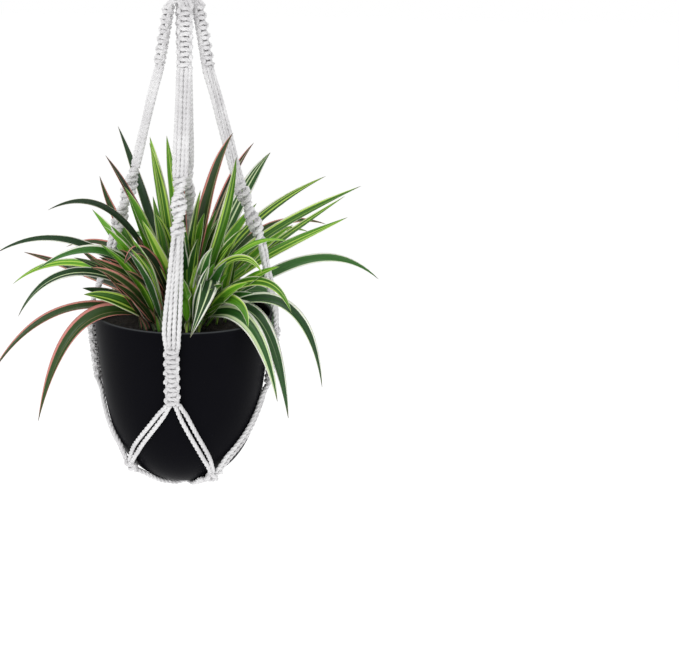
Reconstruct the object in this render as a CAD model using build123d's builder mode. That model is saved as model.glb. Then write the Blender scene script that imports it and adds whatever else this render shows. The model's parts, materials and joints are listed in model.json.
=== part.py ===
"""Hanging macrame planter: a knotted cotton hanger on a steel ring, with a potted plant.

Millimetres, +Z up. The origin is the hook's seat, on the inside of the ring's top. The ring's
hole faces along Y. Everything else hangs below it on the Z axis.
"""

import os
from math import cos, hypot, pi, radians, sin, sqrt, tan

from build123d import *

os.makedirs("parts", exist_ok=True)

# ---------------------------------------------------------------- driving dimensions
RING_BORE = 31.0
RING_WIRE = 4.5

CORD = 5.0
CORD_PITCH = 5.3  # cords that run side by side
BIGHT_CORD = 3.7  # the cords are squeezed where they go over the ring
BIGHT_PITCH = 3.85
BIGHTS = 6
BIGHT_GAP = 0.3  # clearance for the wire, which turns inside the bights
BIGHT_LEG_BEND = 6.0

WRAP_TOP = -44.0
WRAP_LENGTH = 46.0
WRAP_RADIUS = 12.5
WRAP_TURNS = 17

SINNET_WIDTH = 17.0
SINNET_THICKNESS = 10.0
SPIRAL_WIDTH = 17.0
SPIRAL_THICKNESS = 10.5
SPIRAL_STEPS = 12  # straight-sided steps that make up its one full twist
KNOT_CORNER = 3.0
KNOT_HEIGHT = 12.0
TUCK = 3.0  # how far a cord is drawn into the knot at its end

RIM_Z = -409.0
RIM_RADIUS = 95.0
POT_HEIGHT = 180.0
POT_TAPER = 0.115  # radius lost per unit of depth on the upper wall
POT_ROUNDING_DEPTH = 187.0
POT_ROUNDING_POWER = 5.4
POT_WALL = 3.2
WALL_RUNS = 9
SOIL_GAP = 0.5
SOIL_DEPTH = 16.0
CORD_GAP = 0.6  # the cords clear the pot's wall, which turns a little inside them
CRADLE_GAP = 1.2  # slanting cords span the wall's curve, so they stand further off
CRADLE_START_LIFT = 1.9  # and further still where they leave the middle of a sinnet

CROWN_RADIUS = 30.0
CROWN_HEIGHT = 30.0
CROWN_TAPER = 24.0
LEAF_THICKNESS = 1.2
LEAF_STATIONS = 8  # cross-sections along a leaf, in pairs

# azimuth of each arm, and the radius and height of its spiral's top and bottom
ARMS = {
    "front": (261.4, (54.0, -258.0), (72.0, -314.0)),
    "right": (351.4, (58.0, -271.0), (83.0, -335.0)),
    "back": (81.4, (54.0, -266.0), (73.0, -326.0)),
    "left": (171.4, (50.5, -258.0), (71.0, -326.0)),
}
# azimuth of the knot that joins two neighbouring arms below the pot's waist
LOWER_KNOTS = {
    ("front", "right"): 300.5,
    ("right", "back"): 34.0,
    ("back", "left"): 120.5,
    ("left", "front"): 214.0,
}

# radius and height of the arm's stations that all four share
SINNET_START = (14.0, WRAP_TOP - WRAP_LENGTH + 1.5)
SINNET_END = (24.5, -151.0)
LOWER_SINNET_DEPTHS = (15.0, 76.0)
LOWER_KNOT_DEPTH = 158.0
CRADLE_RUNS = 6
# reach from the axis of a base cord's corners, their stand-off from the wall, and how much
# further the second layer stands off
BASE_STATIONS = ((59.0, 3.7, 0.0), (51.0, 3.8, 0.0), (42.0, 3.9, 1.0), (31.0, 4.1, 2.6))
LAYER_PITCH = CORD + 0.4

ring_radius = (RING_BORE + RING_WIRE) / 2
ring_centre_z = -RING_BORE / 2
wire_bottom_z = ring_centre_z - ring_radius


# ---------------------------------------------------------------- geometry helpers
def save(part, name):
    part.label = name
    export_step(part, f"parts/{name}.step")


def place(azimuth, radius, z, across=0.0):
    """A point at a radius and height on an azimuth, moved sideways by across."""
    a = radians(azimuth)
    return Vector(radius * cos(a) - across * sin(a), radius * sin(a) + across * cos(a), z)


def tangent(azimuth):
    a = radians(azimuth)
    return Vector(-sin(a), cos(a), 0)


def pot_radius(depth):
    """Outside radius of the pot at a depth below its rim."""
    rounding = sqrt(1 - (depth / POT_ROUNDING_DEPTH) ** POT_ROUNDING_POWER)
    return (RIM_RADIUS - POT_TAPER * depth) * rounding


def pot_normal(depth):
    """Radial and vertical parts of the wall's outward normal."""
    slope = (pot_radius(depth + 0.5) - pot_radius(depth - 0.5)) / 1.0
    length = hypot(1, slope)
    return 1 / length, slope / length


def on_pot(azimuth, depth, gap):
    """A point that stands off the pot's wall by gap, along the wall's normal."""
    out, up = pot_normal(depth)
    return place(azimuth, pot_radius(depth) + gap * out, RIM_Z - depth + gap * up)


def depth_at_radius(radius):
    """The depth below the widest part at which the pot has this radius."""
    low, high = 0.0, POT_HEIGHT
    while high - low > 0.01:
        middle = (low + high) / 2
        if pot_radius(middle) > radius:
            low = middle
        else:
            high = middle
    return low


def corner_radii(points):
    """The largest arc that each corner of a route leaves room for."""
    radii = []
    for before, corner, after in zip(points, points[1:], points[2:]):
        turn = (corner - before).get_angle(after - corner)
        shorter = min((corner - before).length, (after - corner).length)
        radii.append(0.45 * shorter / tan(radians(turn) / 2))
    return radii


def route(points):
    """Straight runs joined by tangent arcs, for use inside a BuildLine."""
    if len(points) == 2:
        return Line(*points)
    return FilletPolyline(*points, radius=corner_radii(points))


def cord_bundle(routes, diameter=CORD):
    """One round cord along each route."""
    with BuildPart() as bundle:
        for points in routes:
            with BuildLine() as path:
                route(points)
            with BuildSketch(Plane(points[0], z_dir=points[1] - points[0])):
                Circle(diameter / 2)
            sweep(path=path.line)
    return bundle.part


def flat_sinnet(azimuth, start, end):
    """A flat band of square knots, with its broad faces towards and away from the axis."""
    along = end - start
    with BuildPart() as sinnet:
        with BuildSketch(Plane(start, x_dir=tangent(azimuth), z_dir=along)):
            RectangleRounded(SINNET_WIDTH, SINNET_THICKNESS, KNOT_CORNER)
        extrude(amount=along.length)
    return sinnet.part


def lanes(pitch=CORD_PITCH):
    """Sideways places of the four cords of an arm."""
    return [pitch * (i - 1.5) for i in range(4)]


# ---------------------------------------------------------------- ring and what grips it
def make_ring():
    with BuildPart() as ring:
        with BuildSketch(Plane.XY.offset(ring_centre_z)):
            with Locations((ring_radius, 0)):
                Circle(RING_WIRE / 2)
        revolve(axis=Axis((0, 0, ring_centre_z), (0, 1, 0)))
    save(ring.part, "ring")


def make_cord_loops():
    """Bights over the bottom of the ring. The wire turns inside them, so each is a little wider
    than the wire's own height above the turning axis at its place."""
    routes = []
    for i in range(BIGHTS):
        x = BIGHT_PITCH * (i - (BIGHTS - 1) / 2)
        far_side = abs(x) + BIGHT_CORD / 2
        wire_rise = ring_radius - sqrt(ring_radius**2 - far_side**2)
        half_width = wire_rise + RING_WIRE / 2 + BIGHT_GAP + BIGHT_CORD / 2
        top = wire_bottom_z + half_width
        foot = Vector(0.84 * x, 0.86 * half_width, WRAP_TOP)
        side = [
            foot,
            Vector(x, half_width, wire_bottom_z - 1),
            Vector(x, half_width, top),
        ]
        mirrored = [Vector(p.X, -p.Y, p.Z) for p in reversed(side)]
        routes.append((side + mirrored, half_width))
    with BuildPart() as loops:
        for points, half_width in routes:
            bend = 0.97 * half_width
            with BuildLine() as path:
                FilletPolyline(*points, radius=[BIGHT_LEG_BEND, bend, bend, BIGHT_LEG_BEND])
            with BuildSketch(Plane(points[0], z_dir=points[1] - points[0])):
                Circle(BIGHT_CORD / 2)
            sweep(path=path.line)
    save(loops.part, "cord_loops")


def make_gathering_wrap():
    """A neat coil of thinner cord, drawn as one body with a rounded groove for each turn."""
    pitch = WRAP_LENGTH / WRAP_TURNS
    with BuildPart() as wrap:
        with BuildSketch(Plane.XZ):
            with BuildLine():
                Line((0, WRAP_TOP), (WRAP_RADIUS - pitch / 2, WRAP_TOP))
                for turn in range(WRAP_TURNS):
                    top = WRAP_TOP - turn * pitch
                    ThreePointArc(
                        (WRAP_RADIUS - pitch / 2, top),
                        (WRAP_RADIUS, top - pitch / 2),
                        (WRAP_RADIUS - pitch / 2, top - pitch),
                    )
                bottom = WRAP_TOP - WRAP_LENGTH
                Polyline((WRAP_RADIUS - pitch / 2, bottom), (0, bottom), (0, WRAP_TOP))
            make_face()
        revolve(axis=Axis.Z)
    save(wrap.part, "gathering_wrap")


# ---------------------------------------------------------------- one arm of the hanger
def make_spiral(name, azimuth, start, end):
    """A half-knot spiral: a flat band that makes one full twist between its ends."""
    along = end - start
    with BuildPart() as spiral:
        for step in range(SPIRAL_STEPS + 1):
            share = step / SPIRAL_STEPS
            station = Plane(start + along * share, x_dir=tangent(azimuth), z_dir=along)
            with BuildSketch(station.rotated((0, 0, 360 * share))):
                Rectangle(SPIRAL_WIDTH, SPIRAL_THICKNESS)
        loft(ruled=True)
    save(spiral.part, f"spiral_{name}")


def make_arm(name, azimuth, spiral_top_station, spiral_bottom_station):
    sinnet_start = place(azimuth, *SINNET_START)
    sinnet_end = place(azimuth, *SINNET_END)
    save(flat_sinnet(azimuth, sinnet_start, sinnet_end), f"upper_sinnet_{name}")

    spiral_top = place(azimuth, *spiral_top_station)
    spiral_bottom = place(azimuth, *spiral_bottom_station)
    make_spiral(name, azimuth, spiral_top, spiral_bottom)

    down = (spiral_top - sinnet_end).normalized() * TUCK
    sideways = tangent(azimuth)
    upper = [
        [sinnet_end - down + sideways * lane, spiral_top + down + sideways * lane]
        for lane in lanes()
    ]
    save(cord_bundle(upper), f"upper_cords_{name}")

    stand_off = CORD_GAP + SINNET_THICKNESS / 2
    top_depth, bottom_depth = LOWER_SINNET_DEPTHS
    lower_top = on_pot(azimuth, top_depth, stand_off)
    lower_bottom = on_pot(azimuth, bottom_depth, stand_off)
    save(flat_sinnet(azimuth, lower_top, lower_bottom), f"lower_sinnet_{name}")

    over_rim = place(azimuth, RIM_RADIUS + CORD_GAP + CORD * 0.75, RIM_Z + 2)
    into_spiral = spiral_bottom - (over_rim - spiral_bottom).normalized() * TUCK
    into_sinnet = lower_top + (lower_bottom - lower_top).normalized() * TUCK
    lower = [
        [point + sideways * lane for point in (into_spiral, over_rim, into_sinnet)]
        for lane in lanes()
    ]
    save(cord_bundle(lower), f"lower_cords_{name}")


# ---------------------------------------------------------------- cradle under the pot
def cradle_routes(arm_azimuth, knot_azimuth):
    """Two cords from an arm's lower sinnet to the knot between it and a neighbour."""
    between = (knot_azimuth - arm_azimuth + 180) % 360 - 180
    way = 1 if between > 0 else -1
    start_depth = LOWER_SINNET_DEPTHS[1] - TUCK
    end_depth = LOWER_KNOT_DEPTH - KNOT_HEIGHT / 2 + TUCK
    start_turn = CORD_PITCH / pot_radius(start_depth)
    end_turn = radians(abs(between)) - CORD_PITCH / pot_radius(end_depth)
    mean_radius = (pot_radius(start_depth) + pot_radius(end_depth)) / 2
    across = (end_turn - start_turn) * mean_radius
    down = hypot(end_depth - start_depth, pot_radius(start_depth) - pot_radius(end_depth))
    slant = hypot(across, down)
    routes = []
    for lane in (-CORD_PITCH / 2, CORD_PITCH / 2):
        points = []
        for i in range(CRADLE_RUNS + 1):
            share = i / CRADLE_RUNS
            depth = start_depth + (end_depth - start_depth) * share + lane * across / slant
            turn = start_turn + (end_turn - start_turn) * share
            turn -= lane * down / slant / pot_radius(depth)
            lift = CORD / 2 + CRADLE_GAP + CRADLE_START_LIFT * (1 - share) ** 4
            points.append(on_pot(arm_azimuth + way * turn * 180 / pi, depth, lift))
        routes.append(points)
    return routes


def make_lower_knot(name, azimuth):
    stand_off = CORD_GAP + SINNET_THICKNESS / 2
    centre = on_pot(azimuth, LOWER_KNOT_DEPTH, stand_off)
    outward = centre - on_pot(azimuth, LOWER_KNOT_DEPTH, 0)
    with BuildPart() as knot:
        with BuildSketch(Plane(centre, x_dir=tangent(azimuth), z_dir=outward)):
            RectangleRounded(SINNET_WIDTH + 2, KNOT_HEIGHT, KNOT_CORNER)
        extrude(amount=SINNET_THICKNESS / 2, both=True)
        fillet(knot.faces().sort_by(Axis(centre, outward))[-1].edges(), 2.5)
    save(knot.part, f"lower_knot_{name}")


def base_routes(azimuth, layer):
    """Four cords that cross under the pot from one lower knot to the one opposite. The second
    layer passes below the first where they cross in the middle."""
    flat_gap = CORD / 2 + CORD_GAP + layer * LAYER_PITCH
    flat_reach = 2 * CORD_PITCH + 4
    routes = []
    for lane in lanes():
        half = []
        for reach, wall_lift, layer_lift in BASE_STATIONS:
            lift = wall_lift + layer * layer_lift
            depth = depth_at_radius(hypot(reach, lane))
            out, up = pot_normal(depth)
            half.append((reach + lift * out, RIM_Z - depth + lift * up))
        half.append((flat_reach, RIM_Z - POT_HEIGHT - flat_gap))
        near = [place(azimuth, reach, z, lane) for reach, z in half]
        far = [place(azimuth + 180, reach, z, -lane) for reach, z in reversed(half)]
        routes.append(near + far)
    return routes


# ---------------------------------------------------------------- pot and plant
def wall_outline(top, bottom, inset):
    """Evenly spaced points down the pot's wall, moved towards the axis by inset."""
    depths = [top + (bottom - top) * i / WALL_RUNS for i in range(WALL_RUNS + 1)]
    return [(pot_radius(depth) - inset, RIM_Z - depth) for depth in depths]


def make_pot():
    outline = wall_outline(0, POT_HEIGHT, 0)
    hollow = wall_outline(0, POT_HEIGHT - POT_WALL, POT_WALL)
    with BuildPart() as pot:
        with BuildSketch(Plane.XZ):
            with BuildLine():
                Spline(*outline)
                Polyline(outline[-1], (0, RIM_Z - POT_HEIGHT), (0, hollow[-1][1]), hollow[-1])
                Spline(*reversed(hollow))
                Line(hollow[0], outline[0])
            make_face()
        revolve(axis=Axis.Z)
        fillet(pot.edges().group_by(Axis.Z)[-1], POT_WALL * 0.4)
    save(pot.part, "pot")


def make_soil():
    """The root ball and soil, up to a finger's width below the rim."""
    bottom = POT_HEIGHT - POT_WALL - SOIL_GAP
    wall = wall_outline(SOIL_DEPTH, bottom, POT_WALL + SOIL_GAP)
    with BuildPart() as soil:
        with BuildSketch(Plane.XZ):
            with BuildLine():
                Spline(*wall)
                Polyline(wall[-1], (0, wall[-1][1]), (0, wall[0][1]), wall[0])
            make_face()
        revolve(axis=Axis.Z)
    save(soil.part, "soil")


def make_crown():
    """The tight clump of leaf bases that stands on the soil."""
    with BuildPart() as crown:
        with BuildSketch(Plane.XY.offset(RIM_Z - SOIL_DEPTH)):
            Circle(CROWN_RADIUS)
        extrude(amount=CROWN_HEIGHT, taper=CROWN_TAPER)
    save(crown.part, "crown")


# Each leaf: azimuth, then three (radius, height above the rim) control points after its base:
# two that shape its rise and fall, and its tip; then its greatest width.
TIERS = {
    # leaves that come over the rim and hang down
    "drooping": {
        "base": (27.5, -9.0),
        "front_right": [
            (304, (62, 34), (112, 40), (119, 6), 8),
            (312, (70, 22), (118, 26), (137, -71), 9),
            (319.5, (72, 26), (122, 34), (138, -93), 9),
            (327, (80, 36), (150, 52), (166, -60), 8),
        ],
        "back_right": [
            (27, (72, 24), (122, 20), (112, -30), 8),
            (40, (72, 26), (125, 30), (128, -66), 9),
            (54, (72, 24), (120, 26), (130, -80), 9),
        ],
        "back_left": [
            (106, (72, 24), (120, 26), (132, -84), 9),
            (121, (72, 26), (125, 32), (134, -58), 9),
            (136, (72, 24), (118, 24), (126, -74), 9),
        ],
        "front_left": [
            (206, (74, 16), (132, 38), (163, -101), 10),
            (197.5, (80, 20), (150, 34), (206, -52), 8),
        ],
    },
    # leaves that arch out to the side
    "arching": {
        "base": (22.0, 3.0),
        "front_right": [
            (288, (38, 62), (84, 96), (100, 6), 10),
            (323.5, (60, 44), (116, 66), (137, 18), 8),
            (309, (40, 52), (92, 92), (118, 60), 8),
        ],
        "back_right": [
            (13.5, (80, 22), (150, 84), (219, 22), 9),
            (21, (60, 46), (120, 62), (190, 88), 8),
            (33.5, (50, 56), (110, 100), (191, 72), 8),
            (47, (60, 40), (130, 84), (200, 56), 8),
        ],
        "back_left": [
            (113.5, (50, 44), (110, 84), (165, 40), 8),
            (128.5, (60, 40), (130, 66), (205, 34), 8),
            (142, (70, 14), (150, 24), (228, 31), 8),
            (149, (70, 34), (150, 60), (222, 0), 7),
        ],
        "front_left": [
            (194, (60, 62), (130, 108), (196, 70), 7),
            (201.5, (60, 46), (140, 82), (178, 9), 8),
            (211, (50, 60), (100, 100), (170, 64), 8),
            (220, (40, 30), (80, 52), (122, 74), 10),
            (230, (34, 44), (66, 98), (92, 66), 10),
        ],
    },
    # leaves that stand up between the arms
    "upright": {
        "base": (17.0, 12.0),
        "front_right": [
            (298.5, (26, 70), (46, 150), (90, 200), 8),
            (315.5, (46, 60), (70, 120), (74, 172), 9),
            (284, (22, 60), (40, 100), (58, 138), 8),
        ],
        "back_right": [
            (17, (50, 60), (110, 92), (200, 124), 8),
            (27, (46, 64), (90, 104), (170, 132), 8),
            (40, (50, 70), (90, 130), (124, 156), 10),
            (55, (36, 70), (80, 130), (146, 160), 7),
        ],
        "back_left": [
            (105, (20, 70), (40, 130), (64, 176), 8),
            (119, (26, 70), (50, 130), (74, 174), 8),
            (134, (36, 70), (70, 130), (106, 183), 8),
            (147, (60, 44), (92, 90), (105, 133), 8),
        ],
        "front_left": [
            (195.5, (50, 104), (90, 138), (142, 114), 6),
            (207, (36, 80), (60, 130), (86, 170), 8),
            (218.5, (30, 60), (54, 104), (76, 140), 8),
            (233, (22, 78), (40, 134), (64, 186), 7),
        ],
    },
}


def leaf_outline(share):
    """Width of a leaf, as a share of its greatest, from base (0) to tip (1)."""
    if share < 0.45:
        return 0.65 - 0.35 * cos(pi * share / 0.45)
    return 1 - 0.73 * ((share - 0.45) / 0.55) ** 1.6


def leaf_sections(azimuth, controls, width):
    """Cross-sections of a thin strip that follows a curve in the upright plane of its azimuth."""
    corners = [place(azimuth, radius, RIM_Z + height) for radius, height in controls]
    with BuildLine() as midrib:
        Bezier(*corners)
    sections = []
    for i in range(LEAF_STATIONS + 1):
        share = i / LEAF_STATIONS
        along = midrib.line % share
        with BuildSketch(Plane(midrib.line @ share, x_dir=tangent(azimuth), z_dir=along)) as cut:
            Rectangle(width * leaf_outline(share), LEAF_THICKNESS)
        sections.append(cut.sketch)
    return sections


def make_leaves(tier, side):
    base = TIERS[tier]["base"]
    leaves = [
        leaf_sections(azimuth, (base, *bends), width)
        for azimuth, *bends, width in TIERS[tier][side]
    ]
    with BuildPart() as group:
        for sections in leaves:
            for i in range(0, LEAF_STATIONS, 2):
                loft(sections=sections[i : i + 3], ruled=True)
    save(group.part, f"{tier}_leaves_{side}")


# ---------------------------------------------------------------- build
make_ring()
make_cord_loops()
make_gathering_wrap()
for arm, stations in ARMS.items():
    make_arm(arm, *stations)

for (first, second), knot_azimuth in LOWER_KNOTS.items():
    for arm, other in ((first, second), (second, first)):
        routes = cradle_routes(ARMS[arm][0], knot_azimuth)
        save(cord_bundle(routes), f"cradle_{arm}_to_{other}")
    make_lower_knot(f"{first}_{second}", knot_azimuth)

save(cord_bundle(base_routes(LOWER_KNOTS["front", "right"], 0)), "base_cords_upper")
save(cord_bundle(base_routes(LOWER_KNOTS["right", "back"], 1)), "base_cords_lower")

make_pot()
make_soil()
make_crown()
for tier in TIERS:
    for side in ("front_right", "back_right", "back_left", "front_left"):
        make_leaves(tier, side)
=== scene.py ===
"""The looks of a hanging macrame planter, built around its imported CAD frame. Metres, +Z up."""

import json
import math
import random

import bpy
import numpy as np
from mathutils import Matrix, Vector


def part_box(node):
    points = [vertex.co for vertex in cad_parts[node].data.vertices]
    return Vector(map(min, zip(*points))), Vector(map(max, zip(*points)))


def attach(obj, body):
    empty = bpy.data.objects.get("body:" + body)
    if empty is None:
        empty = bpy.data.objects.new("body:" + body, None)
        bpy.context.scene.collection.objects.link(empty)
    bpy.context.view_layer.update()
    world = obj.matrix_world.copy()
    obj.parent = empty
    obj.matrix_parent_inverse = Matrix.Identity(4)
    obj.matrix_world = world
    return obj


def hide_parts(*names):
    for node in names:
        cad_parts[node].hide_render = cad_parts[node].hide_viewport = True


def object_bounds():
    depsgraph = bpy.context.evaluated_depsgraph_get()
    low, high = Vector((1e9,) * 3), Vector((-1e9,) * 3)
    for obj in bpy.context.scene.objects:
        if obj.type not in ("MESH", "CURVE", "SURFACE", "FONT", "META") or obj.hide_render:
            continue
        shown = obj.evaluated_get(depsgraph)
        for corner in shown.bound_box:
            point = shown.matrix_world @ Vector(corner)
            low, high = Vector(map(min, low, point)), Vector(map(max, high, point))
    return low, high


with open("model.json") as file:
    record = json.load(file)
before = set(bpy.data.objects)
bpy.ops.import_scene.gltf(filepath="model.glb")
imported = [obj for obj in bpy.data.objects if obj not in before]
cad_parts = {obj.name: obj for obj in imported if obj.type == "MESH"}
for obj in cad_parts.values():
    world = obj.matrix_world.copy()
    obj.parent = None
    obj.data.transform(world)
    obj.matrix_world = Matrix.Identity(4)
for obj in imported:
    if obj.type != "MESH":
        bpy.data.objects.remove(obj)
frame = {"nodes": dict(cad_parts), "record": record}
cad_low, cad_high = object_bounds()

MM = 0.001

# ---------------------------------------------------------------- dimensions, from the frame
rim_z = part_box("pot")[1].z
pot_height = rim_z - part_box("pot")[0].z
rim_radius = (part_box("pot")[1].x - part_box("pot")[0].x) / 2
soil_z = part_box("soil")[1].z
wrap_bottom, wrap_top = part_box("gathering_wrap")[0].z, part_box("gathering_wrap")[1].z
wrap_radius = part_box("gathering_wrap")[1].x
ring_bottom, ring_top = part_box("ring")[0].z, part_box("ring")[1].z

CORD = 4.9 * MM
LOOP_CORD = 4.4 * MM  # squeezed where it goes over the ring and through the wrap
WRAP_CORD = 2.85 * MM
WRAP_TURNS = 17
CORD_GAP = 2.8 * MM  # from the pot's wall to the middle of a cord that lies on it
KNOT_GAP = 6.4 * MM  # the same for a joining knot
LOWER_SINNET_GAP = 5.7 * MM
LOWER_SINNET_HALF_THICKNESS = 3.2 * MM
SINNET_HALF_THICKNESS = 3.9 * MM
SPIRAL_HALF_WIDTH, SPIRAL_HALF_THICKNESS = 5.8 * MM, 3.0 * MM
RING_WIRE = 4.5 * MM
POT_TAPER = 0.115
POT_ROUNDING_DEPTH = 187 * MM
POT_ROUNDING_POWER = 5.4
POT_WALL = 3.2 * MM
CAVITY_DEPTH = 60 * MM  # of the pot above its hidden floor, which the soil covers
SOIL_DEPTH = 30 * MM
# distance from the axis, and how far a second layer of cords dips below the first, in mm
BASE_STATIONS = ((45, 0.0), (38, 0.0), (31, 0.3), (24, 2.2), (15.5, 5.2), (6, 5.3))

# azimuth of each arm in degrees, the radius and height of its spiral's top and bottom, how far
# its knots' broad faces turn towards the front, and how far its first knots and its spiral lie
# to the right
ARMS = {
    "front": (263.0, (54, -258), (72, -314), 0, (4, 3)),
    "right": (351.4, (58, -271), (83, -335), -36, (0, 0)),
    "back": (81.4, (54, -266), (73, -326), 0, (-3, -5)),
    "left": (171.4, (50.5, -258), (71, -326), 36, (0, 0)),
}
# azimuth and depth below the rim of the knot that joins two neighbouring arms
LOWER_KNOTS = {
    ("front", "right"): (300.5, 163),
    ("right", "back"): (34.0, 158),
    ("back", "left"): (120.5, 158),
    ("left", "front"): (214.0, 156),
}
SINNET_START = (14, wrap_bottom / MM - 1)
SINNET_END = (24.5, -151)
LOWER_SINNET_DEPTHS = (15 * MM, 76 * MM)
LOWER_KNOT_LENGTH = 12 * MM

# where an arm's four cords leave a knot, from left to right as seen from outside
KNOT_LANES = (-5.2 * MM, -2.1 * MM, 2.1 * MM, 6.6 * MM)
SINNET_HALF_KNOTS = 12
SPIRAL_HALF_KNOTS = 8


# ---------------------------------------------------------------- small helpers
def place(azimuth, radius, z):
    a = math.radians(azimuth)
    return np.array([radius * math.cos(a), radius * math.sin(a), z])


def tangent(azimuth):
    a = math.radians(azimuth)
    return np.array([-math.sin(a), math.cos(a), 0.0])


def unit(v):
    return v / np.linalg.norm(v)


def ease(t):
    t = np.clip(t, 0, 1)
    return t * t * (3 - 2 * t)


def pot_radius(depth):
    rounding = np.sqrt(1 - (np.clip(depth, 0, pot_height) / POT_ROUNDING_DEPTH) ** POT_ROUNDING_POWER)
    return (rim_radius - POT_TAPER * depth) * rounding


def pot_normal(depth):
    """Radial and vertical parts of the pot wall's outward normal."""
    step = 0.5 * MM
    slope = (pot_radius(depth) - pot_radius(depth - step)) / step
    length = math.hypot(1, slope)
    return 1 / length, slope / length


def on_pot(azimuth, depth, gap):
    out, up = pot_normal(depth)
    return place(azimuth, pot_radius(depth) + gap * out, rim_z - depth + gap * up)


def depth_at_radius(radius):
    low, high = 0.0, pot_height
    for _ in range(24):
        middle = (low + high) / 2
        if pot_radius(middle) > radius:
            low = middle
        else:
            high = middle
    return low


def smooth_path(points, spacing=0.6 * MM):
    """Points close together on a smooth curve through the given points."""
    p = np.array(points, float)
    p = np.vstack([2 * p[0] - p[1], p, 2 * p[-1] - p[-2]])
    out = []
    for i in range(1, len(p) - 2):
        a, b, c, d = p[i - 1 : i + 3]
        n = max(2, int(np.linalg.norm(c - b) / spacing))
        t = np.linspace(0, 1, n, endpoint=False)[:, None]
        square, cube = 2 * a - 5 * b + 4 * c - d, 3 * b - a - 3 * c + d
        out.append(0.5 * (2 * b + (c - a) * t + square * t**2 + cube * t**3))
    return np.vstack(out + [p[-2:-1]])


def evenly(points, step):
    """The same line with evenly spaced points."""
    gaps = np.linalg.norm(np.diff(points, axis=0), axis=1)
    length = np.concatenate([[0], np.cumsum(gaps)])
    count = max(3, int(round(length[-1] / step)) + 1)
    at = np.linspace(0, length[-1], count)
    return np.stack([np.interp(at, length, points[:, k]) for k in range(3)], axis=1), at


def mesh_object(name, verts, faces, uvs=None, smooth=True):
    mesh = bpy.data.meshes.new(name)
    mesh.from_pydata(np.asarray(verts).tolist(), [], faces)
    if uvs is not None:
        layer = mesh.uv_layers.new(name="UVMap")
        loops = np.empty(len(mesh.loops), np.int32)
        mesh.loops.foreach_get("vertex_index", loops)
        layer.data.foreach_set("uv", np.asarray(uvs, np.float32)[loops].ravel())
    mesh.shade_smooth() if smooth else mesh.shade_flat()
    obj = bpy.data.objects.new(name, mesh)
    bpy.context.scene.collection.objects.link(obj)
    return obj


def finish_piece(obj, body, slot, material, *nodes):
    for m in material if isinstance(material, list) else [material]:
        obj.data.materials.append(m)
    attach(obj, body)
    if nodes:
        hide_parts(*nodes)
    return obj


# ---------------------------------------------------------------- materials
class Nodes:
    """A short way to write a node material."""

    def __init__(self, name):
        self.material = bpy.data.materials.new(name)
        self.material.use_nodes = True
        self.tree = self.material.node_tree
        self.shader = self.tree.nodes["Principled BSDF"]

    def add(self, kind, **settings):
        node = self.tree.nodes.new(kind)
        for key, value in settings.items():
            if isinstance(value, (int, float, tuple)) and key in node.inputs:
                node.inputs[key].default_value = value
            elif hasattr(node, key):
                setattr(node, key, value)
        return node

    def link(self, a, b):
        self.tree.links.new(a, b)

    def math(self, operation, a, b=None):
        node = self.tree.nodes.new("ShaderNodeMath")
        node.operation = operation
        for i, value in enumerate((a, b)):
            if value is None:
                continue
            if isinstance(value, (int, float)):
                node.inputs[i].default_value = value
            else:
                self.link(value, node.inputs[i])
        return node.outputs[0]

    def mix(self, factor, a, b):
        node = self.tree.nodes.new("ShaderNodeMix")
        node.data_type = "RGBA"
        for socket, value in zip((node.inputs[0], node.inputs[6], node.inputs[7]), (factor, a, b)):
            if isinstance(value, (int, float)):
                socket.default_value = value
            elif isinstance(value, tuple):
                socket.default_value = (*value, 1)
            else:
                self.link(value, socket)
        return node.outputs[2]

    def step(self, value, low, high):
        """0 below low, 1 above high, smooth between."""
        node = self.tree.nodes.new("ShaderNodeMapRange")
        node.interpolation_type = "SMOOTHSTEP"
        self.link(value, node.inputs[0])
        node.inputs[1].default_value, node.inputs[2].default_value = low, high
        return node.outputs[0]

    def noise(self, vector, scale, detail=3.0, rough=0.5):
        node = self.add("ShaderNodeTexNoise", Scale=scale, Detail=detail, Roughness=rough)
        self.link(vector, node.inputs["Vector"])
        return node.outputs["Fac"]

    def scaled(self, vector, factors):
        node = self.tree.nodes.new("ShaderNodeVectorMath")
        node.operation = "MULTIPLY"
        self.link(vector, node.inputs[0])
        node.inputs[1].default_value = factors
        return node.outputs[0]

    def bump(self, height, strength, distance, under=None):
        node = self.add("ShaderNodeBump", Strength=strength, Distance=distance)
        self.link(height, node.inputs["Height"])
        if under is not None:
            self.link(under, node.inputs["Normal"])
        return node.outputs["Normal"]

    def uv(self):
        node = self.tree.nodes.new("ShaderNodeUVMap")
        node.uv_map = "UVMap"
        return node.outputs[0]

    def position(self):
        return self.tree.nodes.new("ShaderNodeTexCoord").outputs["Object"]


def cotton(name, light, shade):
    """Soft spun cotton: fine fibres along the strands, a little fuzz and uneven whiteness."""
    n = Nodes(name)
    uv = n.uv()
    fibres = n.noise(n.scaled(uv, (60.0, 900.0, 1.0)), 1.0, 4.0, 0.6)
    slubs = n.noise(n.position(), 260.0, 3.0)
    stain = n.noise(n.position(), 38.0, 2.0)
    blend = n.math("ADD", n.math("MULTIPLY", fibres, 0.5), n.math("MULTIPLY", stain, 0.5))
    n.link(n.mix(n.step(blend, 0.36, 0.62), shade, light), n.shader.inputs["Base Color"])
    fine = n.bump(fibres, 0.35, 0.0004)
    n.link(n.bump(slubs, 0.3, 0.0006, fine), n.shader.inputs["Normal"])
    n.shader.inputs["Roughness"].default_value = 0.92
    n.shader.inputs["Specular IOR Level"].default_value = 0.2
    n.shader.inputs["Sheen Weight"].default_value = 0.25
    n.shader.inputs["Sheen Roughness"].default_value = 0.5
    return n.material


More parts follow.
